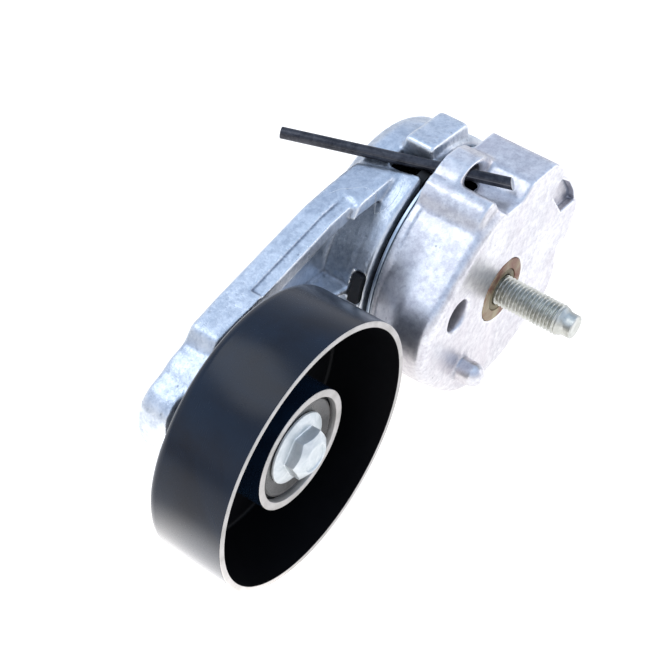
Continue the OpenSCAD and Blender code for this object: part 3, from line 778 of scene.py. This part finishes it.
def headRings(endY, rootY, flats, chamferR, direction):
    look = headLook
    slope = math.tan(math.radians(look["slope"]))

    def hexR(turn):
        side = math.pi / 3
        off = (turn + side / 2) % side - side / 2
        return min(flats / 2 / math.cos(off), flats / math.sqrt(3) * look["cornerBlend"])

    def wallY(turn, shift):
        return endY + direction * (max(hexR(turn) - chamferR, 0) * slope + 0.25 + shift)

    return [(flat(chamferR + look["dishR"]), flat(endY + direction * look["dish"])),
            (flat(chamferR + look["lipR"]), flat(endY + direction * 0.06)),
            (flat(chamferR + look["rimR"]), flat(endY)),
            (flat(chamferR - 0.15), flat(endY + direction * 0.04)),
            (lambda turn: min(chamferR + 0.1, hexR(turn)), flat(endY + direction * 0.18)),
            (lambda turn: hexR(turn) - 0.06, lambda turn: wallY(turn, -0.08)),
            (hexR, lambda turn: wallY(turn, 0.08)),
            (hexR, flat(rootY - direction * 0.25)),
            (lambda turn: hexR(turn) + 0.25, flat(rootY))]


boltLook = {"flats": 13.6, "chamferR": 5.1, "headLength": 5.0, "skirtR": 8.6, "flangeR": 11.2,
            "flangeUnder": 6.3, "shankR": 7.48, "shankEnd": 20.9, "threadR": 4.0}


def buildPulleyBolt():
    look = boltLook
    low, high = boxOf("pulley_bolt")
    under, wide = look["flangeUnder"], look["flangeR"]
    rings = headRings(low.y, low.y + look["headLength"], look["flats"], look["chamferR"], 1)
    for radius, y in ((look["skirtR"], low.y + look["headLength"] + 0.1), (wide - 0.5, under - 0.95),
                      (wide - 0.1, under - 0.75), (wide, under - 0.5), (wide, under - 0.15),
                      (wide - 0.15, under), (look["shankR"], under), (look["shankR"], look["shankEnd"]),
                      (look["threadR"], look["shankEnd"]), (look["threadR"], high.y - 0.6),
                      (look["threadR"] - 0.6, high.y)):
        rings.append((flat(radius), flat(y)))
    piece = ringedPiece("pulleyBolt", rings, pulleyX)
    finishPiece(piece, "pulley_bolt", "arm", [boltZinc], sharp=24)


buildPulleyBolt()


# mounting bolt: rolled thread with a dog point, smooth shank and flanged head
studLook = {"pitch": 1.25, "depth": 0.784, "majorR": 4.98, "crest": 0.10, "flank": 0.74, "threadEnd": 1.4,
            "dogR": 3.85, "dogLength": 3.3, "runIn": 2.2, "taper": 1.9, "taperLead": 1.5, "shankR": 4.85,
            "flats": 15.0, "chamferR": 6.9, "headLength": 9.5, "flangeR": 10.5, "collarR": 8.9,
            "segments": 120, "step": 0.1}


def buildMountingBolt():
    look = studLook
    low, high = boxOf("mounting_bolt")
    dogR = look["dogR"]
    threadStart = low.y + look["dogLength"] + look["runIn"] * 0.6

    def threadR(turn, y):
        phase = (y / look["pitch"] + turn / (2 * math.pi)) % 1
        groove = min(max((abs(phase - 0.5) * 2 - look["crest"]) / look["flank"], 0), 1)
        share = min(max((y - threadStart) / look["runIn"] + 0.2, 0), 1)
        lead = min(max((y - threadStart + look["taperLead"]) / look["taper"], 0), 1)
        crest = dogR + (look["majorR"] - dogR) * lead
        return crest - look["depth"] * groove * share if y < 0 else crest

    rings = [(flat(dogR - 0.6), flat(low.y)), (flat(dogR - 0.3), flat(low.y))]
    rings += [(flat(dogR), flat(low.y + 0.3 + 0.2 * step)) for step in range(12)]
    y = low.y + look["dogLength"]
    while y < look["threadEnd"]:
        rings.append((lambda turn, y=y: threadR(turn, y), flat(y)))
        y += look["step"]
    headY, wide = high.y - look["headLength"], look["flangeR"]
    for radius, place in ((look["shankR"], 1.6), (look["shankR"], headY), (wide - 0.3, headY),
                          (wide, headY + 0.4), (wide, headY + 1.3), (wide - 0.8, headY + 1.9),
                          (look["collarR"], headY + 2.3)):
        rings.append((flat(radius), flat(place)))
    rings += headRings(high.y, headY + 2.4, look["flats"], look["chamferR"], -1)[::-1]
    piece = ringedPiece("mountingBolt", rings, segments=look["segments"])
    finishPiece(piece, "mounting_bolt", "mounting_bolt", [studZinc], sharp=38)


buildMountingBolt()


# lock pin: cut black bar, its axis taken from the slide joint
pinLook = {"radius": 1.85, "edge": 0.12, "backEdge": 0.3, "cut": 0.42, "cutReach": 1.0}


def buildLockPin():
    look = pinLook
    radius = look["radius"]
    low, high = boxOf("lock_pin")
    axis = Vector(jointNamed("lock_pin_pull")["axis"]).normalized()
    inset = radius * abs(axis.x)
    start = Vector((high.x - radius * axis.y, low.y + inset, (low.z + high.z) / 2))
    length = (high.y - low.y - 2 * inset) / axis.y
    corners = [(0, 0, 0, 1), (radius, 0, look["edge"], 0), (radius, length, look["backEdge"], 0),
               (0, length, 0, 0)]
    piece = turnedPiece("lockPin", corners, segments=64)
    for vertex in piece.data.vertices:    # the front end is cut off slightly askew
        if vertex.co.y < look["cutReach"] * mm:
            vertex.co.y += (radius * mm + vertex.co.z) * look["cut"]
    lean = Vector((0, 1, 0)).rotation_difference(axis).to_matrix().to_4x4()
    piece.data.transform(Matrix.Translation(start * mm) @ lean)
    finishPiece(piece, "lock_pin", "lock_pin", [pinBlack, cutSteel])


buildLockPin()


# damper ring: the frame's solid with softened edges
damperLook = {"edge": 0.3, "edgeSteps": 3, "sharpFrom": 50, "flatWithin": 2}


def buildDamper():
    look = damperLook
    mesh = frame["nodes"]["damper_ring"].data.copy()
    work = bmesh.new()
    work.from_mesh(mesh)
    bmesh.ops.remove_doubles(work, verts=work.verts, dist=2e-6)
    bmesh.ops.dissolve_limit(work, angle_limit=math.radians(look["flatWithin"]), verts=work.verts,
                             edges=work.edges)
    work.to_mesh(mesh)
    work.free()
    piece = bpy.data.objects.new("damperRing", mesh)
    bpy.context.scene.collection.objects.link(piece)
    bevel = piece.modifiers.new("edges", "BEVEL")
    bevel.width = look["edge"] * mm
    bevel.segments = look["edgeSteps"]
    bevel.limit_method = "ANGLE"
    bevel.angle_limit = math.radians(look["sharpFrom"])
    finishPiece(piece, "damper_ring", "arm", [damperBlack])


buildDamper()

# inner pieces that keep their own solids
for node, material in (("torsion_spring", springSteel), ("pivot_bushing", bushingBrown),
                       ("bearing_inner_race", raceSteel), ("bearing_outer_race", raceSteel),
                       ("bearing_cage", cageSteel), ("bearing_balls", ballSteel)):
    obj = frame["nodes"][node]
    obj.data.materials.clear()
    obj.data.materials.append(material)
print("pieces built")


# floor, light and camera
# the pool and the bright patch in the floor's glow are painted light
stageLook = {"floorDrop": 0.3, "floorSize": 3.0, "floorColor": 0.42, "glowColor": (1.0, 0.975, 0.955),
             "floorGlow": 0.96, "poolInner": 0.30, "poolOuter": 0.62, "poolEdge": 0.3,
             "brightAt": (-0.092, 0.018), "brightInner": 0.02, "brightOuter": 0.05, "brightGain": 2.4}


def buildFloor():
    look = stageLook
    half = look["floorSize"] / 2
    level = cadBounds[0].z - look["floorDrop"] * mm
    mesh = bpy.data.meshes.new("floor")
    corners = [(-half, -half, 0), (half, -half, 0), (half, half, 0), (-half, half, 0)]
    mesh.from_pydata(corners, [], [(0, 1, 2, 3)])
    floor = bpy.data.objects.new("floor", mesh)
    floor.location = (pulleyX * mm / 2, 0, level)
    bpy.context.scene.collection.objects.link(floor)
    material, tree, shader = newMaterial("floorPaper", 0.0, 0.6)
    place = addNode(tree, "ShaderNodeTexCoord").outputs["Object"]
    fibre = addNode(tree, "ShaderNodeTexNoise", {"Vector": place, "Scale": 300, "Detail": 3})
    shade = rampNode(tree, fibre.outputs["Fac"],
                     [(0.3, look["floorColor"] * 0.97), (0.7, look["floorColor"])])
    split = addNode(tree, "ShaderNodeSeparateXYZ", {"Vector": place})

    def awayFrom(x, y):
        across = mathNode(tree, "POWER", mathNode(tree, "SUBTRACT", split.outputs["X"], x), 2.0)
        along = mathNode(tree, "POWER", mathNode(tree, "SUBTRACT", split.outputs["Y"], y), 2.0)
        return mathNode(tree, "SQRT", mathNode(tree, "ADD", across, along))

    # painted pool of light: the floor's glow is full near the part and fades to about a third further out
    pool = rampNode(tree, awayFrom(0.0, 0.0),
                    [(look["poolInner"], 1.0), (look["poolOuter"], look["poolEdge"])])
    # painted light: a glowing patch near the nose shines several times brighter and lights the pulley's
    # underside and the nose
    bright = rampNode(tree, awayFrom(*look["brightAt"]),
                      [(look["brightInner"], 1.0), (look["brightOuter"], 0.0)])
    gain = mathNode(tree, "ADD", pool, mathNode(tree, "MULTIPLY", bright, look["brightGain"]))
    glow = addNode(tree, "ShaderNodeVectorMath", {0: gain, 1: look["glowColor"]}, operation="MULTIPLY")
    tree.links.new(shade, shader.inputs["Base Color"])
    tree.links.new(glow.outputs["Vector"], shader.inputs["Emission Color"])
    shader.inputs["Emission Strength"].default_value = look["floorGlow"]
    floor.data.materials.append(material)


buildFloor()

lightLook = {
    "topBox": {"at": (-0.32, 0.42, 0.92), "aim": (-0.05, 0.02, 0.0), "size": (0.8, 0.5), "watts": 1.9,
               "color": (0.97, 0.99, 1.0)},
    "frontBox": {"at": (0.75, -0.80, 0.40), "aim": (0.0, 0.0, 0.0), "size": (0.7, 0.6), "watts": 1.2,
                 "color": (1.0, 0.96, 0.93)}}
skyLook = {"strength": 1.12, "stops": [(0.0, (0.10, 0.10, 0.11)), (0.50, (0.42, 0.43, 0.46)),
                                       (0.58, (0.84, 0.86, 0.92)), (0.72, (0.62, 0.71, 0.88)),
                                       (0.86, (0.48, 0.60, 0.82)), (1.0, (0.50, 0.64, 0.86))]}


def buildLights():
    for name, look in lightLook.items():
        light = bpy.data.lights.new(name, "AREA")
        light.shape = "RECTANGLE"
        light.size, light.size_y = look["size"]
        light.energy = look["watts"]
        light.color = look["color"]
        lamp = bpy.data.objects.new(name, light)
        lamp.location = look["at"]
        aim = Vector(look["aim"]) - lamp.location
        lamp.rotation_euler = aim.to_track_quat("-Z", "Y").to_euler()
        bpy.context.scene.collection.objects.link(lamp)
    world = bpy.data.worlds.new("studio")
    world.use_nodes = True
    tree = world.node_tree
    place = addNode(tree, "ShaderNodeTexCoord").outputs["Generated"]
    height = addNode(tree, "ShaderNodeSeparateXYZ", {"Vector": place}).outputs["Z"]
    lift = mathNode(tree, "ADD", mathNode(tree, "MULTIPLY", height, 0.5), 0.5)
    shade = rampNode(tree, lift, skyLook["stops"])
    tree.links.new(shade, tree.nodes["Background"].inputs["Color"])
    tree.nodes["Background"].inputs["Strength"].default_value = skyLook["strength"]
    bpy.context.scene.world = world


buildLights()

cameraLook = {"azimuth": -59.5, "elevation": 40.5, "roll": 8.04, "distance": 0.5818, "lens": 101.31,
              "aim": (-0.03663, 0.03514, -0.01609)}


def buildCamera():
    look = cameraLook
    azimuth, elevation = math.radians(look["azimuth"]), math.radians(look["elevation"])
    back = Vector((math.sin(azimuth) * math.cos(elevation), -math.cos(azimuth) * math.cos(elevation),
                   math.sin(elevation)))
    right = Vector((0, 0, 1)).cross(back).normalized()
    up = back.cross(right)
    roll = Matrix.Rotation(math.radians(look["roll"]), 3, back)
    right, up = roll @ right, roll @ up
    camera = bpy.data.objects.new("camera", bpy.data.cameras.new("camera"))
    camera.data.lens = look["lens"]
    camera.data.sensor_width = 36
    camera.data.clip_start = 0.01
    matrix = Matrix((right, up, back)).transposed().to_4x4()
    matrix.translation = Vector(look["aim"]) + back * look["distance"]
    camera.matrix_world = matrix
    bpy.context.scene.collection.objects.link(camera)
    bpy.context.scene.camera = camera


buildCamera()
bpy.context.scene.view_settings.view_transform = "Standard"

print("scene complete")
